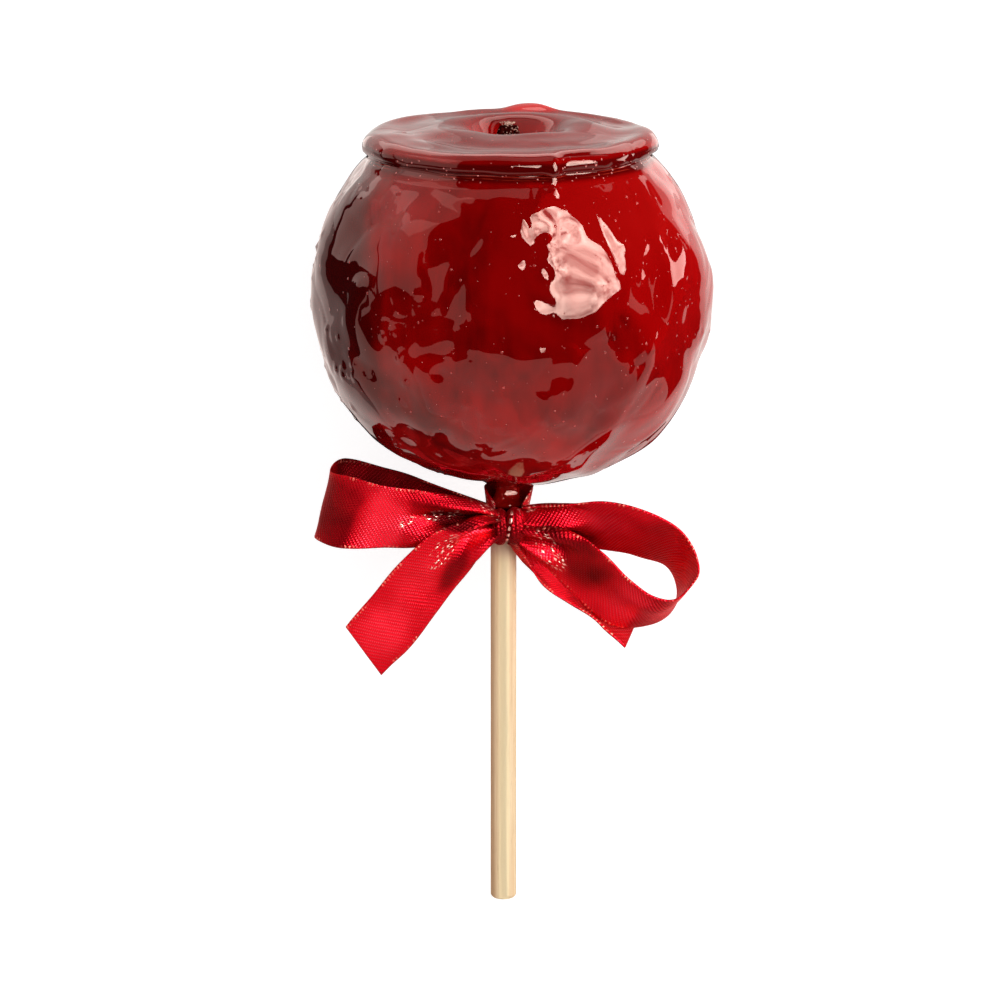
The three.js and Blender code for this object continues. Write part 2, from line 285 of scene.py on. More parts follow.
class Finish:
    """A material with one Principled shader, and the nodes that vary it over the surface."""

    def __init__(self, name, constants):
        self.material = bpy.data.materials.new(name)
        self.material.use_nodes = True
        self.tree = self.material.node_tree
        self.shader = self.tree.nodes["Principled BSDF"]
        for socket, value in constants.items():
            self.shader.inputs[socket].default_value = value

    def node(self, kind, settings=None, sockets=None, output=0):
        """Adds a node, with its settings first and then the values or links of its sockets."""
        made = self.tree.nodes.new(kind)
        for key, value in (settings or {}).items():
            setattr(made, key, value)
        for key, value in (sockets or {}).items():
            self.feed(made.inputs[key], value)
        return Signal(self, made.outputs[output])

    def feed(self, socket, value):
        if isinstance(value, Signal):
            self.tree.links.new(value.socket, socket)
        else:
            socket.default_value = value

    def set(self, socket, value):
        self.feed(self.shader.inputs[socket], value)

    def upright(self, stretch=(1, 1, 1)):
        """Upright millimetre coordinates, each axis multiplied by its stretch."""
        place = self.node("ShaderNodeTexCoord", output="Object")
        back = LYING.inverted()
        turned = self.node(
            "ShaderNodeMapping",
            sockets={
                "Vector": place,
                "Location": back.translation,
                "Rotation": back.to_euler(),
                "Scale": back.to_scale(),
            },
        )
        if stretch == (1, 1, 1):
            return turned
        return self.node("ShaderNodeMapping", sockets={"Vector": turned, "Scale": stretch})

    def noise(self, vector, scale, detail=2.0, roughness=0.5, distortion=0.0):
        sockets = {
            "Vector": vector,
            "Scale": scale,
            "Detail": detail,
            "Roughness": roughness,
            "Distortion": distortion,
        }
        return self.node("ShaderNodeTexNoise", None, sockets, "Fac")

    def speckle(self, vector, scale, output="Distance"):
        sockets = {"Vector": vector, "Scale": scale}
        return self.node("ShaderNodeTexVoronoi", None, sockets, output)

    def mix(self, a, b, factor):
        settings = {"data_type": "RGBA"}
        return self.node("ShaderNodeMix", settings, {0: factor, 6: a, 7: b}, 2)

    def bump(self, height, distance):
        sockets = {"Height": height, "Distance": distance}
        return self.node("ShaderNodeBump", None, sockets, "Normal")

    def split(self, vector):
        made = self.tree.nodes.new("ShaderNodeSeparateXYZ")
        self.feed(made.inputs[0], vector)
        return [Signal(self, made.outputs[i]) for i in range(3)]


def distance_from(centre, x, y):
    dx, dy = x - centre[0], y - centre[1]
    return (dx * dx + dy * dy) ** 0.5


# --- finish of the toffee -------------------------------------------------------------

TOFFEE_GLEAM = (1.0, 0.4, 0.34, 1.0)
TOFFEE_DEEP = (0.05, 0.0001, 0.0002, 1)
TOFFEE_CLEAR = (0.31, 0.0004, 0.0007, 1)
# painted light: a brighter red laid high on the right, where the window's light falls
TOFFEE_LIT = (0.4, 0.003, 0.0025, 1)
DISC_RED = (0.2, 0.0004, 0.0006, 1)
# painted shade down the side of the rim, under its crest
RIM_PAINTED_SHADE = (0.05, 0.0002, 0.0003, 1)
NECK_RED = (0.26, 0.003, 0.002, 1)
# painted shade at the neck's end, under the ribbon
NECK_END_PAINTED_SHADE = (0.015, 0, 0, 1)
# painted glow of light let through the thin toffee of the hollow and the blister
HOLLOW_PAINTED_GLOW = (0.42, 0.004, 0.004, 1)
BLISTER_PAINTED_GLOW = (0.7, 0.01, 0.012, 1)
THREAD_RED = (0.6, 0.04, 0.02, 1)
# the bubbles' pale pink, painted as their highlights
BUBBLE_PAINTED_HIGHLIGHT = (0.8, 0.1, 0.09, 1)
RIM_BUBBLE_PAINTED_HIGHLIGHT = (0.85, 0.28, 0.25, 1)

THREAD_PITCH = 0.5
BUBBLES = 0.52  # cells to a millimetre, of which few hold a bubble
FINE_BUBBLES = 1.1
BUBBLE_RISE = 0.08


def toffee_finish():
    """Hard red toffee: deep glassy red, paler with painted light where light gets through, painted
    shade on the left, round the rim and at the neck's end, and air bubbles with painted highlights.
    """
    look = Finish("red_toffee", {"Roughness": 0.025, "IOR": 1.5, "Specular Tint": TOFFEE_GLEAM})
    at = look.upright()
    x, y, z = look.split(at)
    out = distance_from(DISC_OFF_AXIS, x, y)
    cloud = look.noise(at, 0.045, 3.0, 0.6, 0.4)
    colour = body_red(look, x, z, cloud)
    colour = disc_red(look, colour, z, out)
    colour = neck_red(look, colour, z)
    colour = painted_glow_red(look, colour, x, y, z)
    colour = look.mix(colour, THREAD_RED, rim_threads(look, at, z, out, cloud) * 0.45)
    rim = z.band(24, 25.5) * z.band(29.5, 28.5) * out.band(25, 26.5)
    air = air_bubbles(look, at, rim)
    # The bubbles are raised; their paler pink is a painted highlight, paler still in the rim.
    colour = look.mix(colour, BUBBLE_PAINTED_HIGHLIGHT, air * 0.5)
    colour = look.mix(colour, RIM_BUBBLE_PAINTED_HIGHLIGHT, air * rim * 0.7)
    look.set("Base Color", colour)
    look.set("Normal", look.bump(air * BUBBLE_RISE, MM))
    return look.material


def body_red(look, x, z, cloud):
    """Cloudy red, with painted shade deeper towards the left and painted light high on the right.
    """
    streak = look.noise(look.upright((1, 1, 0.2)), 0.3, 2.0, 0.5, 0.5)
    # The cloud and streak are the toffee's own tone; the rise towards the right and the top and the
    # drop at the far left are painted light and painted shade.
    clear_and_painted_light = cloud * 1.1 + streak * 0.3 - 0.1 + x * 0.003 + z * 0.002 - x.band(-20, -29) * 0.25
    colour = look.mix(TOFFEE_DEEP, TOFFEE_CLEAR, clear_and_painted_light.band(0.22, 0.78))
    # Painted light: a pool of brighter red high on the right, where the window's light falls.
    lit = x.band(2, 22) * z.band(4, 18) * z.band(25.5, 24)
    return look.mix(colour, TOFFEE_LIT, lit * 0.6)


def disc_red(look, colour, z, out):
    """Duller red on the disc, and painted shade, the darkest, round the side of its rim under the
    crest.
    """
    top = z.band(RIM_WIDEST + 1, DISC_TOP - 0.4)
    colour = look.mix(colour, DISC_RED, top * 0.6)
    # Painted shade down the side of the rim, under its crest.
    side = z.band(RIM_WIDEST - 3, RIM_WIDEST - 2) * z.band(RIM_WIDEST + 1.3, RIM_WIDEST + 0.6)
    return look.mix(colour, RIM_PAINTED_SHADE, side * out.band(25.5, 26.5) * 0.9)


def neck_red(look, colour, z):
    """Clearer red down the thin neck, and painted shade, nearly black, at its end under the ribbon.
    """
    colour = look.mix(colour, NECK_RED, z.band(-37, -39.5) * 0.8)
    return look.mix(colour, NECK_END_PAINTED_SHADE, z.band(NECK_BULGE_HEIGHT, NECK_BULGE_HEIGHT - 0.7))


def painted_glow_red(look, colour, x, y, z):
    """Brighter red, a painted glow of light let through, where the toffee is thin: in the hollow
    and in the blister.
    """
    thin = distance_from(HOLLOW_CENTRE, x, y).band(10.5, 6.5) * z.band(21, 24)
    lens_x, lens_y = (x - BLISTER_CENTRE[0]) / 6.6, (y - BLISTER_CENTRE[1]) / 3.6
    lens = (lens_x * lens_x + lens_y * lens_y).band(1.3, 0.5) * z.band(30, 31)
    colour = look.mix(colour, HOLLOW_PAINTED_GLOW, thin * 0.7)
    return look.mix(colour, BLISTER_PAINTED_GLOW, lens * 0.9)


def rim_threads(look, at, z, out, cloud):
    """Thin level threads of toffee under the rim, broken in places."""
    under = z.band(RIM_WIDEST - 2.2, RIM_WIDEST - 1.9) * z.band(RIM_WIDEST - 0.8, RIM_WIDEST - 1.1)
    threads = (z * (2 * math.pi / THREAD_PITCH) + cloud * 14).wave().band(0.55, 0.95)
    return threads * under * look.noise(at, 0.2, 1.0).band(0.4, 0.55) * out.band(25, 26)


def air_bubbles(look, at, rim):
    """1 on a few bubbles and on many fine ones, with more and larger fine ones in the rim."""
    large = look.speckle(at, BUBBLES).band(0.16, 0.08)
    large = large * look.split(look.speckle(at, BUBBLES, "Color"))[0].band(0.72, 0.82)
    fine = (look.speckle(at, FINE_BUBBLES) - rim * 0.07).band(0.17, 0.09)
    kept = look.split(look.speckle(at, FINE_BUBBLES, "Color"))[1] + rim * 0.26
    return large.either(fine * kept.band(0.82, 0.92))


# --- finishes of the stick and the calyx ----------------------------------------------

WOOD_GLEAM = (1.0, 0.7, 0.66, 1.0)
WOOD_BROWN = (0.76, 0.48, 0.25, 1)
WOOD_CREAM = (0.94, 0.72, 0.45, 1)
FLECK_BROWN = (0.5, 0.3, 0.15, 1)
# painted shade down the left side of the stick
STICK_SIDE_PAINTED_SHADE = (0.6, 0.28, 0.12, 1)
# painted light down the front of the stick
STICK_FRONT_PAINTED_LIGHT = (1.0, 0.77, 0.445, 1)
# painted reddish light thrown from the bow onto the stick
BOW_PAINTED_RED_LIGHT = (0.5, 0.2, 0.16, 1)

HUSK_DARK = (0.01, 0.0005, 0.0005, 1)
HUSK_BROWN = (0.07, 0.005, 0.004, 1)
CRUMB_BROWN = (0.5, 0.2, 0.15, 1)
CRUMB_PALE = (1.0, 0.7, 0.55, 1)


def wood_finish():
    """Pale beech dowel with fine grain along its length, painted shade down its left side, painted
    light down its front and a painted reddish light from the bow just under it.
    """
    constants = {"Roughness": 0.55, "IOR": 1.45, "Specular Tint": WOOD_GLEAM}
    look = Finish("pale_wood", constants)
    at = look.upright()
    x, _, z = look.split(at)
    fibre = look.noise(look.upright((1, 1, 0.018)), 2.6, 4.0, 0.65)
    fleck = look.noise(look.upright((1, 1, 0.05)), 5.5, 2.0, 0.6)
    broad = look.noise(look.upright((1, 1, 0.03)), 0.5, 2.0, 0.5)
    tone = (fibre * 0.6 + broad * 0.5 - 0.05).band(0.25, 0.8)
    colour = look.mix(WOOD_BROWN, WOOD_CREAM, tone)
    colour = look.mix(colour, FLECK_BROWN, fleck.band(0.6, 0.72) * 0.5)
    # Painted shade down the left side of the dowel.
    colour = look.mix(colour, STICK_SIDE_PAINTED_SHADE, x.band(-1.2, -2.3) * 0.7)
    # Painted light down the front of the dowel.
    colour = look.mix(colour, STICK_FRONT_PAINTED_LIGHT, x.band(-1.3, -0.5) * x.band(1.5, 0.8))
    # Painted reddish light from the bow, just under it.
    colour = look.mix(colour, BOW_PAINTED_RED_LIGHT, z.band(-54, -50) * 0.55)
    look.set("Base Color", colour)
    look.set("Roughness", 0.5 + fibre * 0.2)
    look.set("Normal", look.bump(fibre * 0.5 + fleck * 0.5, 0.12 * MM))
    return look.material


def calyx_finish():
    """Dry brown sepals, with pale golden crumbs on them."""
    look = Finish("dry_calyx", {"Roughness": 0.8, "Specular IOR Level": 0.0})
    pale = look.split(look.node("ShaderNodeUVMap", {"uv_map": "crumb"}))[0]
    patch = look.noise(look.upright(), 1.5, 3.0, 0.6)
    husk = look.mix(HUSK_DARK, HUSK_BROWN, patch.band(0.4, 0.65))
    crumb = look.mix(CRUMB_BROWN, CRUMB_PALE, patch.band(0.4, 0.6))
    look.set("Base Color", look.mix(husk, crumb, pale))
    look.set("Normal", look.bump(patch, 0.4 * MM))
    return look.material


# --- finish of the ribbon -------------------------------------------------------------

SATIN_GLEAM = (1, 0.1, 0.12, 1)
# the dark and bright satin reds carry painted shade and painted sheen as well as the satin's own
# tone
SATIN_DARK_AND_PAINTED_SHADE = (0.07, 0, 0.0005, 1)
SATIN_RED = (0.55, 0.0008, 0.006, 1)
SATIN_BRIGHT_AND_PAINTED_SHEEN = (0.8, 0.009, 0.022, 1)
YARN_SHINE = (1.0, 0.09, 0.12, 1)
STITCH_PINK = (0.9, 0.2, 0.14, 1)
# the colour of the painted glints
PAINTED_GLINT_PINK = (1.0, 0.5, 0.4, 1)

TWILL_PITCH = 0.62
YARN_PITCH = 0.5
STITCH_PITCH = 0.8
SEAM_PITCH = 1.45
HEM = (0.75, 0.45)  # the selvedge begins and is full at these distances from the edge

PAINTED_GLINTS = (  # centre, half sizes, turn in degrees and strength of each place painted with glints where it sparkles
    (-18.5, -43.6, 2.2, 0.7, 30, 0.8),
    (-11.5, -42.4, 4.4, 1.2, 8, 1),
    (-11.6, -49.2, 4.8, 2, 52, 1),
    (9, -50.2, 5.2, 2.1, -60, 1),
    (4.4, -41.6, 2.2, 1.3, 0, 1),
    (5.4, -40, 1, 2.2, 0, 1),
    (-3.2, -40.6, 4, 1, -52, 1),
)
PAINTED_SHEENS_AND_SHADES = (  # the same for painted sheen where the satin shines, or with less than 0 for painted shade where it is dark
    (-32, -43.5, 10, 6.5, 76, -0.33),
    (-23.6, -44.6, 9, 4.6, 66, 0.55),
    (-10, -43.4, 5.5, 1.6, -8, -0.55),
    (-16, -39.6, 6, 2.2, -14, -0.25),
    (-6, -46.3, 3.6, 1.5, 0, 0.5),
    (-17, -54, 6, 4.4, 50, 0.25),
    (-9.5, -53.5, 5, 2, 60, -0.3),
    (-23, -65, 7, 5, 50, 0.3),
    (0.8, -46, 4.5, 4.5, 0, -0.35),
    (22, -47, 6, 3.4, -35, 0.3),
    (9.5, -45.2, 5, 2, -6, -0.15),
    (14, -44.6, 5, 2.6, -15, 0.3),
    (34, -54, 5, 8, 0, 0.12),
    (14, -51, 10, 6, -55, -0.34),
    (25, -62, 8, 5, -30, 0.3),
    (9, -51.5, 5, 2, -55, 0.25),
)


def ribbon_finish():
    """Red satin ribbon: fine diagonal twill, painted sheen and shade, painted glints where it is
    gathered and down the knot, stitched selvedges.
    """
    constants = {"Roughness": 0.32, "IOR": 1.45, "Metallic": 0.7, "Specular Tint": SATIN_GLEAM}
    look = Finish("red_satin", constants)
    cloth = look.node("ShaderNodeUVMap", {"uv_map": "cloth"})
    along, across, _ = look.split(cloth)
    at = look.upright()
    x, y, z = look.split(at)
    twill = (along * 0.85 + across * 0.52).stripes(TWILL_PITCH)
    dots = twill * (along * 0.3 - across * 0.95).stripes(YARN_PITCH)
    stitches = selvedge_stitches(look, at, along, across)
    tone = satin_tone_and_painted_light(look, at, x, y, z)
    painted_glint = painted_gathered_glints(look, at, cloth, x, y, z).either(painted_knot_seam_glints(look, at, x, y, z))
    # Painted shade and painted sheen come in through the tone.
    colour = look.mix(SATIN_DARK_AND_PAINTED_SHADE, SATIN_RED, tone.band(-0.1, 0.55))
    colour = look.mix(colour, SATIN_BRIGHT_AND_PAINTED_SHEEN, tone.band(0.5, 1))
    # The twill dots are painted brighter as highlights, more where the painted sheen is.
    colour = look.mix(colour, YARN_SHINE, dots.band(0.4, 0.95) * tone.band(0.15, 0.9) * 0.8)
    colour = look.mix(colour, STITCH_PINK, stitches * 0.7)
    # Painted glints, raised a little as well.
    colour = look.mix(colour, PAINTED_GLINT_PINK, painted_glint)
    look.set("Base Color", colour)
    look.set("Roughness", 0.4 - dots * 0.16)
    look.set("Normal", look.bump(dots * 0.6 + twill * 0.25 + stitches + painted_glint, 0.1 * MM))
    return look.material


def patches(spots, x, z):
    """The sum of soft oval patches, each with its strength, seen from the bow's front."""
    total = 0
    for across, up, wide, tall, turn, gain in spots:
        cos, sin = math.cos(math.radians(turn)), math.sin(math.radians(turn))
        side, rise = x - across, z - up
        long, short = (side * cos + rise * sin) / wide, (rise * cos - side * sin) / tall
        total = (long * long + short * short).band(1.6, 0.1) * gain + total
    return total


def satin_tone_and_painted_light(look, at, x, y, z):
    """How bright the satin is, from about 0 to 1: its own tone with painted sheen and painted
    shade, and painted shade towards the back on the left.
    """
    tone = look.noise(at, 0.14, 2.0) * 0.5 + 0.2 + patches(PAINTED_SHEENS_AND_SHADES, x, z) * y.band(-1, -4)
    # Painted shade on the back of the left loop, behind its front strand.
    return tone - y.band(-3, 0) * 0.4 * x.band(4, 0)


def selvedge_stitches(look, at, along, across):
    """1 on the stitches along both edges, which come and go."""
    half = RIBBON_WIDTH / 2
    hem = (across - half).size().band(half - HEM[0], half - HEM[1])
    stitch = along.stripes(STITCH_PITCH).band(0.4, 0.8)
    return hem * (stitch * look.noise(at, 0.3, 2.0).band(0.48, 0.66))


def painted_gathered_glints(look, at, cloth, x, y, z):
    """1 on painted glints, on the threads that sparkle where the ribbon is gathered."""
    threads = look.node("ShaderNodeMapping", sockets={"Vector": cloth, "Scale": (0.55, 1.2, 1)})
    painted_glint = look.speckle(threads, 1.7).band(0.44, 0.2)
    painted_glint = painted_glint * patches(PAINTED_GLINTS, x, z).band(0.2, 0.8) * y.band(0.5, -1)
    return painted_glint * look.noise(at, 0.9, 1.0).band(0.36, 0.5)


def painted_knot_seam_glints(look, at, x, y, z):
    """1 on painted glints, the beads of bright thread down the front of the knot."""
    seam = (x - 1 - (z + 46) * 0.16).size().band(0.3, 0.13)
    seam = seam * z.band(-49.5, -49) * z.band(-42, -42.6) * y.band(-5, -6)
    bead = z * (2 * math.pi / SEAM_PITCH) + look.noise(at, 0.5, 1.0) * 5
    return seam * bead.wave().band(-0.4, 0.2)


# --- shape of the toffee apple --------------------------------------------------------

COAT_STEP = 0.62  # between the stations of the coat's profile
COAT_SEGMENTS = 400
RIM_WANDER = (  # waves round the rim, phase and share of the rim wave
    (3, 0.6, 0.5),
    (7, 2.2, 0.35),
    (11, 4, 0.3),
)
DENTS = (  # rise, waves to a millimetre, and place in the noise
    (0.34, 0.07, (3, 7, 1)),
    (0.34, 0.14, (8, 2, 4)),
    (0.07, 0.31, (9, 2, 5)),
)
WARP_SEED = 5.5
CREASE_DEPTH = 0.1
RUN_RISE = 0.3
CALM_POINT = Vector((14.5, -33, 10))  # round it the toffee is smoother
CALM_SHARE = 0.35
PIMPLES = (  # place on the toffee, upright: azimuth, height, spread and rise
    (186, 8.5, 0.8, 0.5),
    (201, -5.5, 0.7, 0.35),
    (172, -19, 0.8, 0.4),
    (190, -26.5, 0.9, 0.4),
    (268.5, 16, 1.2, 0.3),
    (271.4, 10.8, 1.1, 0.28),
    (279, 9, 1, 0.22),
    (304, -20, 2.6, 0.7),
    (249, -9.8, 1.1, -0.25),
    (267, -13.9, 1, 0.25),
    (280.8, -17.5, 1.1, 0.25),
    (281, 14.6, 1.3, 0.35),
    (250, -2.5, 2.6, -0.5),
    (248.7, -0.5, 2.8, 0.3),
    (266.6, -8.2, 1.8, -0.2),
    (277, -5.6, 2.4, 0.3),
    (285.6, -9.6, 2, -0.25),
    (294.7, -2.6, 2.6, 0.35),
    (301.6, -12.8, 2.2, -0.3),
    (313.3, -6, 2.4, 0.35),
    (265.5, -13.1, 0.8, -0.14),
    (281.5, -17.6, 1, -0.16),
    (249.3, -9.2, 1, -0.18),
    (286.4, 26.3, 1.4, 0.7),
    (286.3, 24, 1.2, 0.5),
    (279.5, 17.2, 2.2, -0.35),
    (288.5, 16.8, 2, -0.3),
    (283, 10.5, 1.6, 0.3),
)
SCATTER = (  # small pimples: how many, their azimuths, heights and spreads, and rise to a spread
    (90, (0, 360), (-32, 24), (0.35, 0.8), 0.3),
    (60, (165, 265), (-34, 8), (0.4, 0.9), 0.35),
)
RUNS = (  # azimuth and height of both ends, spread and rise
    ((259.9, 17.5), (251.8, 1.8), 1.6, -0.26),
    ((303, 18.5), (308, 8), 2, 0.28),
    ((257.5, -11), (260.4, -26.5), 0.6, -0.12),
    ((299, 20), (303, 8), 0.7, -0.08),
    ((286.4, 28), (286.3, 25), 1.5, 0.7),
    ((284.5, 7), (284, -2), 2.4, 0.12),
    ((321.5, 15), (322.5, 2), 1.7, 0.3),
)


def toffee_waves(p):
    height = sum(size * math.sin(Vector(wave).dot(p) + phase) for wave, phase, size in WAVES)
    return height * smooth(*REST_PATCH, (p - REST_POINT).length)


def neck_profile():
    """Stations of the toffee run round the stick: radius, height, centre x, centre y, waves."""
    pairs = [(0, NECK_END), (0.7, NECK_END)]
    pairs += rounded_end(NECK_RADIUS, NECK_ROUND, NECK_END, 4)[1:]
    pairs.append((NECK_RADIUS + NECK_BULGE, NECK_BULGE_HEIGHT))
    rows = [(r, z, NECK_OFF_AXIS, 0, 0) for r, z in pairs]
    return rows + [(NECK_RADIUS * share, z, cx, 0, waves) for share, z, cx, waves in NECK_FLARE]


def body_point(angle):
    power = 2 / (LOWER_FULLNESS if angle < 0 else UPPER_FULLNESS)
    turn = math.radians(angle)
    r = APPLE_RADIUS * math.cos(turn) ** power
    z = APPLE_HALF_HEIGHT * math.copysign(abs(math.sin(turn)) ** power, angle)
    return r, z


def body_profile():
    """Stations of the apple, whose waves fade towards the neck and the disc."""
    rows = []
    steps = 40
    for i in range(steps):
        angle = lerp(LOWEST_ANGLE, SHOULDER_ANGLE, i / (steps - 1))
        waves = smooth(LOWEST_ANGLE - 5, -50, angle)
        waves *= 1 - 0.6 * smooth(30, SHOULDER_ANGLE, angle)
        r, z = body_point(angle)
        rows.append((r, z, APPLE_OFF_AXIS - APPLE_TWIST * z, 0, waves))
    return rows


def rim_profile():
    """Stations round the edge of the disc, from under it to its top."""
    rows = []
    steps = 7
    for i in range(steps + 1):
        turn = math.radians(lerp(-75, 90, i / steps))
        wide, tall = (0.7 * RIM_TUCK, RIM_TUCK) if turn < 0 else (RIM_ROUND, DISC_TOP - RIM_WIDEST)
        r = DISC_RADIUS - wide + wide * math.cos(turn)
        rows.append((r, RIM_WIDEST + tall * math.sin(turn), *DISC_OFF_AXIS, 0))
    return rows


def crown_profile():
    """Stations across the disc, over the hollow's lip and down to its floor."""
    rows = []
    outer = DISC_RADIUS - RIM_ROUND
    for share in (0.22, 0.45, 0.68, 0.88):
        r = lerp(outer, HOLLOW_RADIUS, share)
        dip = CROWN_DIP * math.sin(math.pi * share)
        centre = [lerp(a, b, share) for a, b in zip(DISC_OFF_AXIS, HOLLOW_CENTRE)]
        rows.append((r, DISC_TOP - dip + LIP_RISE * smooth(0.5, 1, share), *centre, 0))
    steps = 7
    for i in range(steps + 1):
        t = i / steps
        z = lerp(DISC_TOP + LIP_RISE, HOLLOW_FLOOR, t**2.1)
        rows.append((lerp(HOLLOW_RADIUS, FLOOR_RADIUS, t**0.8), z, *HOLLOW_CENTRE, 0))
    for r in (FLOOR_RADIUS / 2, 0):
        rows.append((r, HOLLOW_FLOOR, *HOLLOW_CENTRE, 0))
    return rows


def evenly(rows, step):
    """The same profile with stations about one step apart, through a smooth curve."""
    points = [Vector(row) for row in rows]
    count = len(points) * 12
    fine = [spline(points, i / count) for i in range(count + 1)]
    gone = [0]
    for a, b in zip(fine, fine[1:]):
        gone.append(gone[-1] + math.hypot(b[0] - a[0], b[1] - a[1]))
    stations = round(gone[-1] / step)
    out, i = [], 0
    for k in range(stations + 1):
        want = gone[-1] * k / stations
        while i + 2 < len(gone) and gone[i + 1] < want:
            i += 1
        f = (want - gone[i]) / max(gone[i + 1] - gone[i], 1e-9)
        out.append(fine[i].lerp(fine[i + 1], min(f, 1)))
    return out


def rim_wander(turn):
    return sum(share * math.sin(waves * turn + phase) for waves, phase, share in RIM_WANDER)


def crown_ripple(x, y):
    """Low rings and spokes that the disc set in, round the hollow."""
    dx, dy = x - HOLLOW_CENTRE[0], y - HOLLOW_CENTRE[1]
    around, out = math.atan2(dy, dx), math.hypot(dx, dy)
    rings = 0.12 * math.sin(out * 0.8 + 1.2 * math.sin(2 * around + 0.7))
    return rings + 0.16 * math.sin(5 * around + 0.1 * out)


def blister(x, y):
    wide, deep = BLISTER_SPREAD * 1.35, BLISTER_SPREAD * 0.95
    away = math.hypot((x - BLISTER_CENTRE[0]) / wide, (y - BLISTER_CENTRE[1]) / deep)
    return BLISTER_HEIGHT * math.exp(-(away**3))


def under_fold(z, turn):
    level = (z - FOLD_HEIGHT) / FOLD_HALF
    return FOLD_DEPTH * max(1 - level**2, 0) * smooth(-0.2, 0.7, -math.sin(turn))


def neck_press(p, cx, cy, z):
    """What the flattened side of the neck loses at a point, as a vector outwards."""
    face = Vector((math.cos(NECK_FACE), math.sin(NECK_FACE), 0))
    flat = NECK_FLAT + (NECK_FLAT_TOP - z) * NECK_FACE_SLOPE
    proud = (p.x - cx) * face.x + (p.y - cy) * face.y - flat
    return face * (max(proud, 0) * NECK_PRESS + smooth(-40.6, -42, z) * NECK_SET_BACK)


def toffee_point(row, turn):
    """The place of the coat at a station and a turn round the stick, before its fine relief."""
    r, z, cx, cy, waves = row
    p = Vector((cx + r * math.cos(turn), cy + r * math.sin(turn), z))
    outward = Vector((p.x - cx, p.y, z * (APPLE_RADIUS / APPLE_HALF_HEIGHT) ** 2)).normalized()
    p += outward * (waves * toffee_waves(p) + under_fold(z, turn))
    on_disc = smooth(RIM_WIDEST - 2.5, RIM_WIDEST, z) * smooth(HOLLOW_RADIUS, DISC_RADIUS, r)
    wander = on_disc * RIM_WAVE * rim_wander(turn)
    p += Vector((wander * math.cos(turn), wander * math.sin(turn), 0))
    p.z += on_disc * 0.5 * RIM_WAVE * rim_wander(turn + 0.9)
    if z < NECK_FLAT_TOP:
        p -= neck_press(p, cx, cy, z)
    if z > DISC_TOP - 3 and r < DISC_RADIUS - 1:
        p.z += crown_ripple(p.x, p.y) + blister(p.x, p.y)
    return p


def drift(p, seed):
    """Three smooth values that wander with the place p."""
    return Vector([noise.noise(p + Vector((seed + 17 * i, 5 * i, 31 * i))) for i in range(3)])


def skin_relief(p):
    """Finer dents, creases and runs of the set toffee, in millimetres along the normal."""
    q = p + drift(p * 0.09, WARP_SEED) * 4
    dents = sum(rise * noise.noise(q * fine + Vector(place)) for rise, fine, place in DENTS)
    near = noise.voronoi(q * 0.075 + Vector((1, 6, 2)))[0]
    crease = math.exp(-(((near[1] - near[0]) / 0.07) ** 2))
    crease *= CREASE_DEPTH * smooth(-0.1, 0.2, noise.noise(p * 0.06 + Vector((4, 4, 9))))
    run = Vector((q.x * 0.13, q.y * 0.13, q.z * 0.035))
    runs = RUN_RISE * noise.noise(run + Vector((5, 5, 5))) * smooth(14, -16, p.z)
    calm = lerp(CALM_SHARE, 1, smooth(6, 14, (p - CALM_POINT).length))
    calm *= lerp(1, CALM_SHARE, smooth(RIM_WIDEST - 1.5, RIM_WIDEST + 1, p.z))
    calm *= smooth(*REST_PATCH, (p - REST_POINT).length) * smooth(-40, -36, p.z)
    return (dents - crease + runs) * calm


def pimples():
    """The bumps with places of their own, then the small seeded ones."""
    spots = list(PIMPLES)
    draw = random.Random(7)
    for count, azimuths, heights, spreads, slope in SCATTER:
        for _ in range(count):
            spread = draw.uniform(*spreads)
            place = draw.uniform(*azimuths), draw.uniform(*heights)
            spots.append((*place, spread, spread * slope))
    return spots


def on_apple(azimuth, z):
    """The point of a plain apple at an azimuth in degrees and a height."""
    level = math.asin(max(min(z / APPLE_HALF_HEIGHT, 0.99), -0.99))
    r, turn = APPLE_RADIUS * math.cos(level), math.radians(azimuth)
    return Vector((APPLE_OFF_AXIS + r * math.cos(turn), r * math.sin(turn), z))


def raise_pimples(tree, rise):
    for azimuth, z, spread, height in pimples():
        near = tree.find(on_apple(azimuth, z))[0]
        if (near - REST_POINT).length < REST_PATCH[1]:
            continue
        for _, index, away in tree.find_range(near, 3 * spread):
            rise[index] += height * math.exp(-((away / spread) ** 2))


def raise_runs(tree, rise):
    for first, last, spread, height in RUNS:
        start, end = on_apple(*first), on_apple(*last)
        chord, across = end - start, start.cross(end).normalized()
        fade = 1.2 * spread / chord.length
        for co, index, _ in tree.find_range((start + end) / 2, chord.length / 2 + 3 * spread + 2):
            along = (co - start).dot(chord) / chord.length_squared
            ends = smooth(-fade, fade, along) * smooth(1 + fade, 1 - fade, along)
            rise[index] += height * ends * math.exp(-((co.dot(across) / spread) ** 2))


def flatten_rest_spot(bm):
    """Brings what would dip below the floor up to it, which leaves the small flat spot."""
    standing = LYING.inverted()
    for vert in bm.verts:
        place = LYING @ vert.co
        if place.z < 0:
            place.z = 0
            vert.co = standing @ place


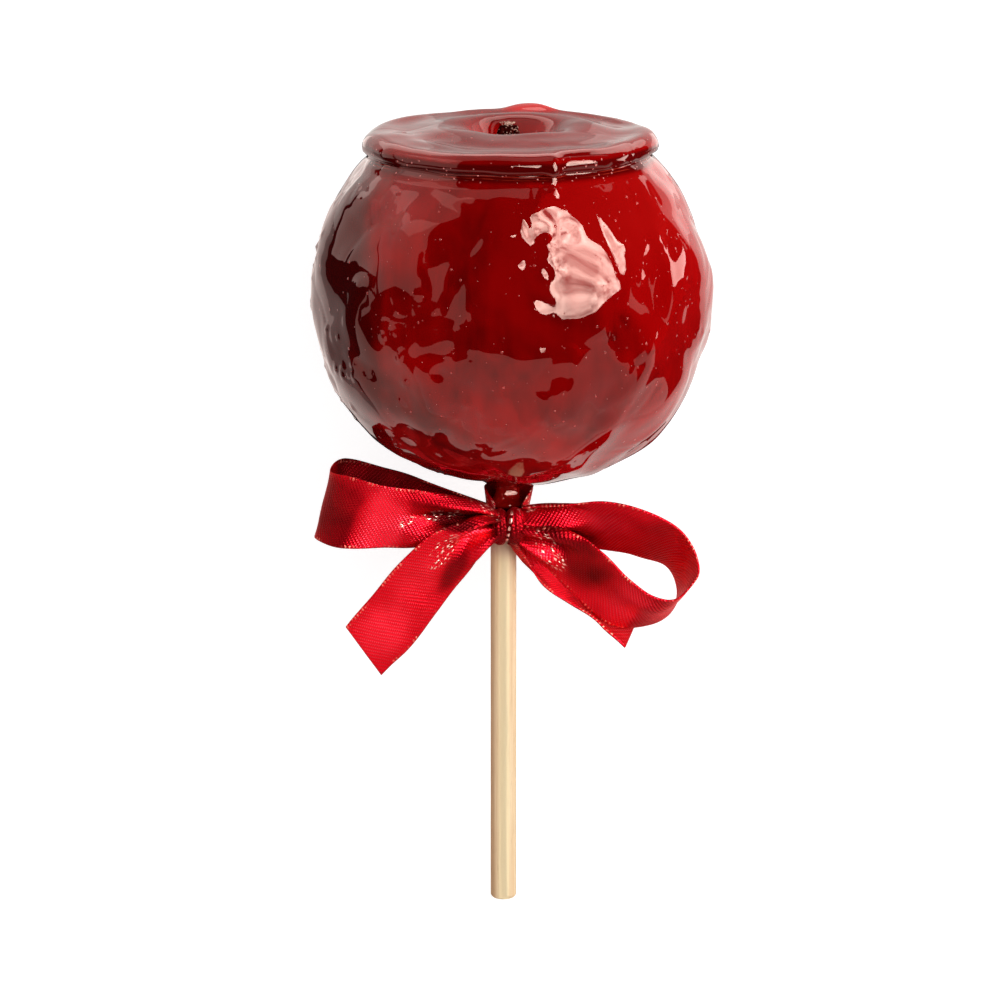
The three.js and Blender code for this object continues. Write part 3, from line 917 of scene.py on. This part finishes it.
def toffee_coat():
    """The apple in its coat, spun from one profile and then waved, dented and dotted."""
    rows = evenly(neck_profile() + body_profile() + rim_profile() + crown_profile(), COAT_STEP)
    bm = spun([(max(row[0], 0), row[1]) for row in rows], COAT_SEGMENTS)
    station = bm.verts.layers.float["station"]
    for vert in bm.verts:
        turn = math.atan2(vert.co.y, vert.co.x)
        vert.co = toffee_point(rows[round(vert[station])], turn)
    bm.normal_update()
    bm.verts.index_update()
    rise = [skin_relief(vert.co) for vert in bm.verts]
    tree = kdtree.KDTree(len(rise))
    for vert in bm.verts:
        tree.insert(vert.co, vert.index)
    tree.balance()
    raise_pimples(tree, rise)
    raise_runs(tree, rise)
    for vert in bm.verts:
        vert.co += vert.normal * rise[vert.index]
    flatten_rest_spot(bm)
    piece("toffee_coat", bm, toffee_finish(), "toffee_apple")


# --- shapes of the stick and the calyx ------------------------------------------------

WEAR = 0.035  # unevenness of the dowel
STICK_STATIONS = 60

SEPALS = 9
SEPAL_WIDTH = 1.5
SEPAL_THICK = 0.22
CRUMBS = 110
BIG_CRUMB = (0.66, -1.19, 2.55, 0.42)  # share of the height, turn, distance out and radius


def stick():
    """A straight dowel with a rounded tip, whose plain top is hidden in the knot."""
    top = NECK_END - GAP
    profile = [(0, STICK_TIP), (0.8, STICK_TIP)]
    profile += rounded_end(STICK_RADIUS, STICK_EDGE, STICK_TIP, 8)
    for i in range(STICK_STATIONS + 1):
        profile.append((STICK_RADIUS, lerp(STICK_TIP + 2, top, i / STICK_STATIONS)))
    profile.append((0, top))
    bm = spun(profile, 72)
    for vert in bm.verts:
        side = Vector((vert.co.x, vert.co.y, 0))
        if side.length > 1:
            wear = WEAR * noise.noise(Vector((side.x, side.y, vert.co.z * 0.08)))
            vert.co -= side.normalized() * abs(wear)
    piece("wooden_stick", bm, wood_finish(), "stick")


def calyx_core(bm, tall):
    """The lumpy stub that the sepals stand round."""
    depth = tall * 0.9
    core = bmesh.ops.create_cone(
        bm, segments=28, radius1=2.3, radius2=1.5, depth=depth, cap_ends=True, cap_tris=True
    )
    bmesh.ops.translate(bm, verts=core["verts"], vec=(0, 0, tall * 0.45))
    bmesh.ops.subdivide_edges(bm, edges=bm.edges, cuts=3, use_grid_fill=True)
    for vert in bm.verts:
        lump = drift(vert.co * 1.3, 0.5)
        vert.co += Vector((lump.x, lump.y, 0.3 * lump.z)) * 0.35


def sepal(bm, turn, reach):
    """One withered sepal that leans in over the core."""
    made = bmesh.ops.create_grid(bm, x_segments=5, y_segments=12, size=0.5)
    for vert in made["verts"]:
        side, t = vert.co.x * 2, vert.co.y + 0.5
        wide = SEPAL_WIDTH * math.sin(math.pi * min(t * 0.8 + 0.2, 1)) ** 0.7
        r = 2.5 + 0.3 * math.sin(math.pi * t) - 0.9 * t**2 - 0.15 * side**2 * wide
        spin = turn + side * wide * 0.4
        vert.co = Vector((r * math.cos(spin), r * math.sin(spin), reach * t))
    bmesh.ops.solidify(bm, geom=faces_of(made["verts"]), thickness=SEPAL_THICK)


def crumbs(bm, draw, tall):
    """Pale crumbs on the sepals, more of them near the top."""
    layer = bm.loops.layers.uv["crumb"]
    beads = [BIG_CRUMB]
    for _ in range(CRUMBS):
        t, turn = min(draw.uniform(0.58, 1.25), 0.98), draw.uniform(0, 2 * math.pi)
        out = (2.7 - 1.1 * t**2) * (1 if t < 0.9 else draw.uniform(0.1, 1))
        beads.append((t, turn, out, draw.uniform(0.08, 0.17)))
    for t, turn, out, radius in beads:
        bead = bmesh.ops.create_icosphere(bm, subdivisions=1, radius=radius)
        spot = (out * math.cos(turn), out * math.sin(turn), tall * t)
        bmesh.ops.translate(bm, verts=bead["verts"], vec=spot)
        for face in faces_of(bead["verts"]):
            for loop in face.loops:
                loop[layer].uv = (1, 0)


def dried_calyx():
    """A stub of withered sepals in the hollow, dusted with pale crumbs."""
    bm = bmesh.new()
    bm.loops.layers.uv.new("crumb")
    draw = random.Random(11)
    base = HOLLOW_FLOOR + GAP
    tall = CALYX_TOP - base
    calyx_core(bm, tall)
    for k in range(SEPALS):
        turn = 2 * math.pi * k / SEPALS + draw.uniform(-0.2, 0.2)
        sepal(bm, turn, tall * draw.uniform(0.75, 1))
    crumbs(bm, draw, tall)
    bmesh.ops.translate(bm, verts=bm.verts, vec=(*CALYX_CENTRE, base))
    bmesh.ops.recalc_face_normals(bm, faces=bm.faces)
    piece("dried_calyx", bm, calyx_finish(), "calyx")


# --- shape of the ribbon --------------------------------------------------------------

# Each row is one crosswise line of the ribbon: its upper selvedge, then its lower selvedge.
LEFT_LOOP = (
    ((-1.2, -5.5, -42.6), (-1.4, -5.5, -46.3)),
    ((-6, -8.5, -39.8), (-7.2, -8.5, -47)),
    ((-14.9, -11.5, -37.4), (-16.3, -10, -48.5)),
    ((-22.5, -12, -36), (-24.3, -9.5, -49)),
    ((-28.9, -10.5, -34.8), (-31.6, -9.5, -48.9)),
    ((-33.2, -5, -34.8), (-36, -4.5, -48.2)),
    ((-30.3, 0.5, -33.7), (-33.3, 1, -48.3)),
    ((-20, 2.5, -36.8), (-22.3, 4, -49)),
    ((-9.7, 0.5, -40.2), (-10.7, 1, -47.5)),
    ((-3.2, -3.8, -42), (-3.4, -3.6, -45.2)),
)
RIGHT_LOOP = (
    ((3.7, -6.2, -41.9), (3.1, -5.2, -46.2)),
    ((10.8, -8.5, -41), (10.9, -3.5, -48)),
    ((18.8, -10, -40), (18.6, -2, -51.2)),
    ((27.9, -10.7, -41.6), (25.4, -0.5, -52.3)),
    ((34.2, -11.1, -45.6), (31, 0.3, -54.7)),
    ((37.1, -11.6, -52), (33.4, 0.8, -59.4)),
    ((36.4, -11.5, -55.4), (32.6, 0.7, -63.4)),
    ((33, -11.5, -58.6), (29.3, 0.7, -66.5)),
    ((29, -11, -58), (24.9, 0.2, -67.1)),
    ((24.2, -10.5, -55), (18.7, -0.7, -64.8)),
    ((19.2, -10.1, -49.4), (12.4, -1.9, -58.9)),
    ((12.7, -8.7, -46), (7.2, -4.1, -52.6)),
    ((3.9, -6.9, -44.6), (3.1, -5.1, -48.2)),
)
LEFT_TAIL = (
    ((-1, -6, -43.2), (-1.4, -6, -47.6)),
    ((-6.4, -11, -42.6), (-3.6, -8.4, -49.2)),
    ((-13, -13.5, -45), (-7.6, -8, -55.2)),
    ((-19.7, -13, -50.6), (-12.1, -7, -61.4)),
    ((-25.7, -12, -58.4), (-18.2, -6.5, -69.4)),
    ((-30.2, -11.5, -64.1), (-23.6, -6, -75)),
)
RIGHT_TAIL = (
    ((3, -4.4, -47.2), (2.6, -6.8, -48.2)),
    ((7.2, 1.9, -49.1), (4.1, -5.1, -51.5)),
    ((13.3, 7, -53), (7.5, -3, -57.5)),
    ((19.6, 10.6, -57.9), (12.8, -2.2, -61.6)),
    ((25.1, 11.2, -62.8), (18.3, -2, -65.3)),
    ((27.6, 11.3, -65), (23.5, -1.9, -70.6)),
)
COLLAR = (
    ((-1.6, -4.2, -41.6), (-2, -4.6, -45.5)),
    ((-3.3, -2.4, -39.3), (-3.2, -2.2, -46)),
    ((-3.5, 0.6, -38.9), (-3.3, 0.8, -46)),
    ((-1.6, 4.1, -39), (-1.4, 3.3, -46)),
    ((2.9, 4.3, -39), (1.9, 3.3, -46)),
    ((5.2, 1, -38.9), (4, 1, -46)),
    ((5, -2.2, -39.2), (4, -2, -46)),
    ((3.6, -4.3, -41.6), (3.4, -4.6, -45.5)),
)
STRANDS = (  # rows, steps along, and 1 where the ribbon is pleated as it is gathered
    (LEFT_LOOP, 150, 1),
    (RIGHT_LOOP, 180, 1),
    (LEFT_TAIL, 90, 1),
    (RIGHT_TAIL, 80, 1),
    (COLLAR, 70, 0),
)
KNOT_LOBES = (  # centre and half sizes of the two puffs
    ((-0.7, -6.1, -45.6), (1.8, 2.6, 3.4)),
    ((2.2, -6.2, -45.4), (2.1, 2.7, 3.5)),
)
RIBBON_STEPS = 40  # across the width
FINE_PLEATS = 5.5  # narrower waves across the width, on the pleats
FINE_PLEAT_DEPTH = 0.16
SWAY = 0.9
SWAY_EASE = 0.15  # share of a strand over which its sway grows from each end


def strand(bm, rows, steps, pleated, offset):
    """One length of ribbon between its two selvedges; returns where on the cloth it ends."""
    uppers = [Vector(row[0]) for row in rows]
    lowers = [Vector(row[1]) for row in rows]
    times = [i / steps for i in range(steps + 1)]
    middles = [(spline(uppers, t) + spline(lowers, t)) / 2 for t in times]
    run = [0.0]
    for a, b in zip(middles, middles[1:]):
        run.append(run[-1] + (b - a).length)
    cloth = bm.loops.layers.uv["cloth"]
    made = bmesh.ops.create_grid(bm, x_segments=steps, y_segments=RIBBON_STEPS, size=0.5)
    for face in faces_of(made["verts"]):
        for loop in face.loops:
            u, v = loop.vert.co.x + 0.5, loop.vert.co.y + 0.5
            loop[cloth].uv = (offset + run[round(u * steps)], v * RIBBON_WIDTH)
    for vert in made["verts"]:
        u, v = vert.co.x + 0.5, vert.co.y + 0.5
        vert.co = ribbon_point(uppers, lowers, u, v, pleated)
    return offset + run[-1]


def ribbon_point(uppers, lowers, u, v, pleated):
    """The place at u along and v across a strand, folded where its selvedges come together."""
    a, b = spline(uppers, u), spline(lowers, u)
    across = b - a
    spread = min(across.length / RIBBON_WIDTH, 1)
    gathered = pleated * smooth(0.92, 0.6, spread)
    depth = gathered * RIBBON_WIDTH * math.sqrt(2 * (1 - spread**2)) / (2 * math.pi * PLEATS)
    step = 1e-3
    ahead = (spline(uppers, u + step) - spline(uppers, u - step)) + (
        spline(lowers, u + step) - spline(lowers, u - step)
    )
    normal = ahead.cross(across).normalized()
    fold = depth * math.sin(2 * math.pi * PLEATS * v)
    fine = FINE_PLEAT_DEPTH * gathered * math.sin(2 * math.pi * FINE_PLEATS * v + 6 * u)
    flat = a + across * v
    sway = SWAY * noise.noise(flat * 0.13 + Vector((2, 8, 5)))
    sway = sway * min(u, 1 - u, SWAY_EASE) / SWAY_EASE
    return flat + normal * (fold + fine + sway)


def knot_lobe(bm, centre, size):
    """One puff of the knot, a tuck of ribbon with upright gathers."""
    cloth = bm.loops.layers.uv["cloth"]
    made = bmesh.ops.create_uvsphere(bm, u_segments=64, v_segments=40, radius=1)
    for face in faces_of(made["verts"]):
        for loop in face.loops:
            turn = math.atan2(loop.vert.co.y, loop.vert.co.x)
            loop[cloth].uv = (loop.vert.co.z * 4, RIBBON_WIDTH / 2 + turn * 2)
    for vert in made["verts"]:
        turn = math.atan2(vert.co.y, vert.co.x)
        gathers = 0.05 * math.sin(13 * turn + 2 * vert.co.z) * (1 - vert.co.z**2)
        vert.co *= 1 + gathers
        vert.co = Vector(c + s * x for c, s, x in zip(centre, size, vert.co))


def satin_ribbon():
    """The bow: both loops, both tails and the band round the neck, with the knot's puffs."""
    bm = bmesh.new()
    bm.loops.layers.uv.new("cloth")
    run = 0.0
    for rows, steps, pleated in STRANDS:
        run = strand(bm, rows, steps, pleated, run)
    for centre, size in KNOT_LOBES:
        knot_lobe(bm, centre, size)
    made = piece("satin_ribbon", bm, ribbon_finish(), "ribbon_bow")
    wall = made.modifiers.new("cloth_thickness", "SOLIDIFY")
    wall.thickness = RIBBON_THICK * MM
    wall.offset = 0


# --- studio ---------------------------------------------------------------------------

FLOOR_HALF = 2  # metres
PAPER_GREYS = ((0.4, 0.4, 0.4, 1), (0.43, 0.43, 0.43, 1))
WHITE = (1, 1, 1, 1)

# Panels hang round the object. Each row has the panel's direction from the object and that of its
# width, both in the studio's axes, then its distance, and its width and height, in metres.
WINDOW = (0.59, 0.205, 0.785), (0.60, 0.42, -0.68), 0.9, (0.70, 0.84)
LEFT = (-0.68, 0.24, 0.33), (0.1, -1, 0), 0.8, (1.0, 0.76)
TOP = (-0.4, 0.9, 0.34), (1, 0.4, 0), 0.85, (1.1, 0.5)
FRONT = (0, -0.9, 0.4), (1, 0, 0), 0.7, (2.4, 0.57)
BACK = (0, 1, -0.03), (1, 0, 0), 1, (2.2, 0.14)
OVERHEAD = (0, 0, 1), (1, 0, 0), 2.6, (2.6, 2.6)
WINDOW_TINT = (0.6, 1, 1)

CREAM = (1, 0.96, 0.91)
ROSY = (1, 0.84, 0.79)
CARDS = (  # name, left, right, near and far edges in millimetres, radiance and tint
    ("card_left", -80, -36, -75, 90, 1.0, ROSY),
    ("card_left_dim", -105, -80, -75, 90, 0.5, ROSY),
    ("card_right", 40, 88, -130, 60, 1.0, CREAM),
    ("card_right_low", 6, 40, -75, -40, 1.0, CREAM),
    ("card_top_left", -110, -14, 34, 90, 0.85, CREAM),
    ("card_top", -14, 20, 34, 90, 0.55, CREAM),
    ("card_top_right", 20, 110, 34, 90, 0.9, CREAM),
    ("card_top_far", -130, 140, 90, 320, 2.6, CREAM),
    ("card_left_far", -1100, -130, 20, 900, 1.5, ROSY),
    ("card_lower_left", -1200, -60, -950, -75, 1.35, ROSY),
    ("card_lower_right", 88, 1200, -950, -60, 1.35, CREAM),
    ("card_lower", -60, 88, -950, -140, 1.35, CREAM),
    ("card_strip", 150, 360, 5, 62, 7, CREAM),
)

# In millimetres, and the centre on the upright object.
CAMERA_DISTANCE = 1100
FRAME_CENTRE = Vector((-0.674, 0, -41.75))
FRAME_WIDTH = 192.5
SENSOR_WIDTH = 36


def floor():
    """Pale paper, bright enough to look white, that reflections don't show."""
    bm = bmesh.new()
    bmesh.ops.create_grid(bm, x_segments=4, y_segments=4, size=FLOOR_HALF)
    mesh = bpy.data.meshes.new("studio_floor")
    bm.to_mesh(mesh)
    bm.free()
    made = bpy.data.objects.new("studio_floor", mesh)
    bpy.context.scene.collection.objects.link(made)
    constants = {
        "Roughness": 0.9,
        "Specular IOR Level": 0.1,
        "Emission Color": WHITE,
        "Emission Strength": 0.88,
    }
    look = Finish("floor_paper", constants)
    paper = look.noise(look.node("ShaderNodeTexCoord", output="Object"), 40, 3.0)
    look.set("Base Color", look.mix(*PAPER_GREYS, paper))
    mesh.materials.append(look.material)
    made.visible_glossy = False


def area_light(name, place, size, radiance, diffuse, glossy):
    """A rectangular light of an even radiance that the camera doesn't see."""
    light = bpy.data.lights.new(name, "AREA")
    light.shape = "RECTANGLE"
    light.size, light.size_y = size
    light.energy = radiance * math.pi * size[0] * size[1]
    made = bpy.data.objects.new(name, light)
    made.matrix_world = place
    bpy.context.scene.collection.objects.link(made)
    made.visible_camera = False
    made.visible_diffuse = diffuse
    made.visible_glossy = glossy
    return light


def panel(name, toward, level, distance, size, radiance, diffuse=True, glossy=True):
    """A soft rectangular light that faces the object."""
    back = (STUDIO @ Vector(toward)).normalized()
    up = back.cross(STUDIO @ Vector(level)).normalized()
    place = Matrix((up.cross(back), up, back)).transposed().to_4x4()
    place.translation = Vector((0, 0, REST_HEIGHT * MM)) + back * distance
    return area_light(name, place, size, radiance, diffuse, glossy)


def card(name, left, right, near, far, radiance, tint):
    """A sheet of light on the floor that only reflections show."""
    place = Matrix.Rotation(math.pi, 4, "X")
    place.translation = Vector((left + right, near + far, 1)) * MM / 2
    size = (right - left) * MM, (far - near) * MM
    light = area_light(name, place, size, radiance, diffuse=False, glossy=True)
    light.color = tint


def mottle(light, tint):
    """Tints a light and makes its brightness uneven, as a window's is."""
    light.color = tint
    light.use_nodes = True
    nodes, links = light.node_tree.nodes, light.node_tree.links
    place = nodes.new("ShaderNodeNewGeometry")
    cloud = nodes.new("ShaderNodeTexNoise")
    cloud.inputs["Scale"].default_value = 4
    cloud.inputs["Detail"].default_value = 4
    span = nodes.new("ShaderNodeMapRange")
    for socket, value in (("From Min", 0.3), ("From Max", 0.7), ("To Min", 0.05), ("To Max", 1.65)):
        span.inputs[socket].default_value = value
    links.new(place.outputs["Parametric"], cloud.inputs["Vector"])
    links.new(cloud.outputs["Fac"], span.inputs["Value"])
    links.new(span.outputs["Result"], nodes["Emission"].inputs["Strength"])


def lights():
    """A window at the upper right, softer panels all round and cards on the floor."""
    mottle(panel("window_gloss", *WINDOW, 30, diffuse=False), WINDOW_TINT)
    panel("window_soft", *WINDOW, 9, glossy=False)
    panel("left_gloss", *LEFT, 1.5, diffuse=False)
    panel("top_gloss", *TOP, 1.2, diffuse=False)
    panel("front_gloss", *FRONT, 1.45, diffuse=False)
    panel("back_gloss", *BACK, 1.2, diffuse=False)
    panel("overhead_soft", *OVERHEAD, 1.75, glossy=False)
    for row in CARDS:
        card(*row)
    world = bpy.data.worlds.new("studio_air")
    world.use_nodes = True
    air = world.node_tree.nodes["Background"]
    air.inputs["Color"].default_value = WHITE
    air.inputs["Strength"].default_value = 0.02
    bpy.context.scene.world = world


def camera():
    """Looks down at the bow side."""
    data = bpy.data.cameras.new("studio_camera")
    data.lens = SENSOR_WIDTH * CAMERA_DISTANCE / FRAME_WIDTH
    data.clip_start, data.clip_end = 0.05, 20
    made = bpy.data.objects.new("studio_camera", data)
    place = STUDIO.to_4x4()
    place.translation = LYING @ FRAME_CENTRE + STUDIO @ Vector((0, 0, CAMERA_DISTANCE * MM))
    made.matrix_world = place
    bpy.context.scene.collection.objects.link(made)
    bpy.context.scene.camera = made


camera()
lights()
floor()
toffee_coat()
stick()
dried_calyx()
satin_ribbon()
bpy.context.scene.view_settings.view_transform = "Standard"
